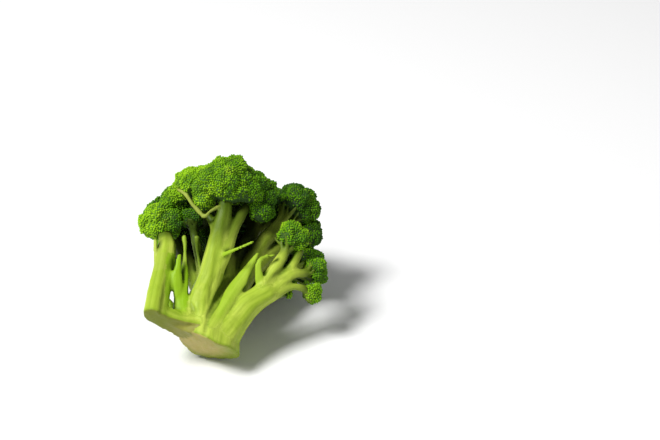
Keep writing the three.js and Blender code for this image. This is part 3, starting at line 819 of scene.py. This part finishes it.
def stalkFlesh():
    material = plain("stalkFlesh", (0.4, 0.55, 0.1), 0.45)
    tree = material.node_tree
    shader = tree.nodes["Principled BSDF"]
    c = fleshColors
    spot = add(tree, "ShaderNodeTexCoord").outputs["Object"]
    fibre = add(tree, "ShaderNodeAttribute", {"attribute_name": "fibre"})
    broad, fine = mottled(tree, fibre.outputs["Vector"], 9.0, 2.2)
    patches, grain = mottled(tree, spot, 0.018, 0.0016)
    color = blended(tree, ranged(tree, broad, 0.0, 1.0, 0.0, 0.75), c["pale"], c["fresh"])
    color = blended(tree, ranged(tree, patches, 0.35, 1.0, 0.0, 0.45), color, c["fresh"])
    color = blended(tree, ranged(tree, fine, 0.0, 1.0, 0.0, 0.22), color, c["deep"])
    leafShare = attribute(tree, "leafShare")
    color = blended(tree, ranged(tree, leafShare, 0.0, 1.0), color, c["leaf"])
    # painted shade: the crowded creases between limbs are painted deep green
    crease = ranged(tree, attribute(tree, "crease"), 0.08, 0.6, 0.0, 0.9)
    color = blended(tree, crease, color, c["deep"])
    # partly the flesh's own green near the buds, partly painted shade beneath them
    near = ranged(tree, attribute(tree, "nearBuds"), 0.15, 0.8, 0.0, 0.8)
    color = blended(tree, near, color, c["deep"])
    # painted shade: the stems under the crown are painted olive as if in its shadow
    under = ranged(tree, attribute(tree, "paintedCrownShade"), 0.0, 1.0, 0.0, 0.8)
    color = blended(tree, under, color, c["olive"])
    # painted shade deep inside the head, almost black
    inward = attribute(tree, "inward")
    color = blended(tree, ranged(tree, inward, 0.0, 1.0, 0.0, 0.92), color, c["inside"])
    color = blended(tree, ranged(tree, leafShare, 0.0, -1.0), color, c["straw"])
    cutDepth = attribute(tree, "cutDepth")
    rim = ranged(tree, cutDepth, -2.6, -0.9)
    color = blended(tree, ranged(tree, rim, 0, 1, 0, 0.6), color, c["rind"])
    face = blended(tree, ranged(tree, patches, 0.2, 0.9, 0.0, 0.6), c["cut"], c["cutDark"])
    face = blended(tree, ranged(tree, attribute(tree, "cutEdge"), 0, 1, 0, 0.75), face, c["rind"])
    face = blended(tree, ranged(tree, grain, 0.4, 1.0, 0.0, 0.3), face, c["rind"])
    face = blended(tree, ranged(tree, attribute(tree, "sideCut"), 0, 1, 0, 0.7), face, c["dull"])
    cut = ranged(tree, cutDepth, -0.75, -0.45)
    color = blended(tree, cut, color, face)
    tree.links.new(color, shader.inputs["Base Color"])
    shader.inputs["Specular IOR Level"].default_value = 0.15
    tree.links.new(ranged(tree, fine, 0, 1, 0.42, 0.6), shader.inputs["Roughness"])
    relief = math2(tree, "ADD", math2(tree, "MULTIPLY", fine, 0.7), math2(tree, "MULTIPLY", grain, 0.3))
    bump = add(tree, "ShaderNodeBump", None, Strength=0.5, Distance=0.0004, Height=relief)
    tree.links.new(bump.outputs["Normal"], shader.inputs["Normal"])
    return material


budColors = {
    "gap": linear(28, 56, 4), "dark": linear(44, 84, 8), "mid": linear(88, 140, 12),
    "bright": linear(140, 186, 24), "yellow": linear(176, 204, 60), "blue": linear(46, 88, 34),
    "ripe": linear(164, 160, 50), "shade": (0.22, 0.3, 0.2),
}


def budGreen():
    material = plain("budGreen", (0.07, 0.19, 0.02), 0.62)
    tree = material.node_tree
    shader = tree.nodes["Principled BSDF"]
    c = budColors
    spot = add(tree, "ShaderNodeTexCoord").outputs["Object"]
    patches, grain = mottled(tree, spot, 0.014, 0.0011)
    tone = attribute(tree, "budTone")
    floretTone = attribute(tree, "floretTone")
    cluster = attribute(tree, "clusterTone")
    # light: the floret's painted light and shade, with its real patches, clusters and bud tones
    light = math2(tree, "MULTIPLY", floretTone, 0.5)
    for part, weight in ((patches, 0.34), (cluster, 0.38), (tone, 0.1)):
        light = math2(tree, "ADD", light, math2(tree, "MULTIPLY", part, weight))
    color = blended(tree, ranged(tree, light, 0.2, 0.68), c["dark"], c["mid"])
    color = blended(tree, ranged(tree, light, 0.62, 1.15), color, c["bright"])
    color = blended(tree, ranged(tree, tone, 0.95, 0.99, 0.0, 0.25), color, c["yellow"])
    ripe = math2(tree, "MULTIPLY", ranged(tree, patches, 0.72, 1.0), ranged(tree, floretTone, 0.6, 1.0))
    color = blended(tree, math2(tree, "MULTIPLY", ripe, 0.4), color, c["ripe"])
    color = blended(tree, ranged(tree, cluster, 0.3, 0.12, 0.0, 0.4), color, c["blue"])
    # painted shade: the foot of each bud and the valleys between the little domes are darkened
    rise = attribute(tree, "budRise")
    color = blended(tree, ranged(tree, rise, 0.35, -0.45, 0.0, 0.85), color, c["shade"], "MULTIPLY")
    deep = ranged(tree, attribute(tree, "clusterHeight"), 0.4, 0.05, 0.0, 0.6)
    color = blended(tree, deep, color, c["shade"], "MULTIPLY")
    shader.inputs["Specular IOR Level"].default_value = 0.1
    tree.links.new(color, shader.inputs["Base Color"])
    tree.links.new(ranged(tree, grain, 0, 1, 0.5, 0.75), shader.inputs["Roughness"])
    bump = add(tree, "ShaderNodeBump", None, Strength=0.4, Distance=0.0002, Height=grain)
    tree.links.new(bump.outputs["Normal"], shader.inputs["Normal"])
    return material


def lobeGreen():
    # the body under the buds, which shows in the cracks and where the underside is bare. Its dark greens are partly
    # its own colour and partly painted shade in the cracks and under the floret.
    material = plain("lobeGreen", (0.03, 0.06, 0.01), 0.8)
    tree = material.node_tree
    shader = tree.nodes["Principled BSDF"]
    spot = add(tree, "ShaderNodeTexCoord").outputs["Object"]
    patches, grain = mottled(tree, spot, 0.006, 0.0014)
    bare = blended(tree, patches, budColors["dark"], budColors["gap"])
    between = blended(tree, ranged(tree, attribute(tree, "floretTone"), 0.2, 1.4, 0, 0.6), budColors["gap"],
                      budColors["mid"])
    color = blended(tree, ranged(tree, attribute(tree, "budShare"), 0.0, 0.5), bare, between)
    tree.links.new(color, shader.inputs["Base Color"])
    bump = add(tree, "ShaderNodeBump", None, Strength=0.7, Distance=0.0008, Height=grain)
    tree.links.new(bump.outputs["Normal"], shader.inputs["Normal"])
    return material


budMaterial = budGreen()
skinMaterial = lobeGreen()
stalkMaterial = stalkFlesh()

draw = np.random.default_rng(floretSettings["seed"])
bodies = [lobedBody(floret) for floret in florets]
solids = []
for body in bodies:
    faces = [tuple(p.vertices) for p in body.data.polygons]
    solids.append((cornersOf(body.data), faces))
print("lobed bodies", sum(len(f) for c, f in solids), "faces")


def treeWithout(skipped):
    corners, faces, start = [], [], 0
    for i, (places, polygons) in enumerate(solids):
        if i != skipped:
            corners.extend(places.tolist())
            faces.extend(tuple(v + start for v in f) for f in polygons)
            start += len(places)
    return BVHTree.FromPolygons(corners, faces)


def triangles(piece):
    return sum(len(p.vertices) - 2 for p in piece.data.polygons)


stalk = makeStalk(bodies, treeWithout(None))
stalk.data.materials.append(stalkMaterial)
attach(stalk, "root")
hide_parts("stalk")
total = triangles(stalk)
print("stalk", total, "triangles")

tree = budTree()
for i, (floret, body) in enumerate(zip(florets, bodies)):
    raiseClusters(body, floret, treeWithout(i), draw)
    growBuds(body, tree, i, budMaterial, skinMaterial)
    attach(body, "root")
    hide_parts("floret_" + floret[0])
    print(floret[0], triangles(body), "triangles")
    total += triangles(body)
print("in all", total, "triangles")

# Camera
viewSettings = {"elevation": 28, "distance": 1060, "target": (80.24, 94.52), "lens": 85}
up = math.radians(viewSettings["elevation"])
upward = np.array([0, math.sin(up), math.cos(up)])
inward = np.array([0, math.cos(up), -math.sin(up)])
target = viewSettings["target"][0] * np.array([1, 0, 0]) + viewSettings["target"][1] * upward
camera = bpy.data.objects.new("camera", bpy.data.cameras.new("camera"))
bpy.context.scene.collection.objects.link(camera)
camera.location = toFrame(target - viewSettings["distance"] * inward)
camera.rotation_euler = (math.pi / 2 - up, 0, 0)
camera.data.lens = viewSettings["lens"]
camera.data.sensor_width = 36
bpy.context.scene.camera = camera

# Floor and light
bpy.ops.mesh.primitive_plane_add(size=8)
floor = bpy.context.object
floor.name = "floor"
floor.data.materials.append(plain("paleFloor", (0.86, 0.86, 0.86), 0.9))
bpy.context.scene.view_settings.view_transform = "Standard"
world = bpy.data.worlds.new("softLight")
bpy.context.scene.world = world
world.use_nodes = True
world.node_tree.nodes["Background"].inputs["Color"].default_value = (1, 1, 1, 1)
world.node_tree.nodes["Background"].inputs["Strength"].default_value = 0.24
for name, place, power, size in (("key", (-1.8, -1.0, 2.95), 176, 1.2), ("fill", (2.1, -1.8, 1.2), 9, 1.8)):
    light = bpy.data.objects.new(name, bpy.data.lights.new(name, "AREA"))
    light.data.energy = power
    light.data.size = size
    light.location = place
    light.rotation_euler = (Vector((0, 0, 0.05)) - Vector(place)).to_track_quat("-Z", "Y").to_euler()
    bpy.context.scene.collection.objects.link(light)
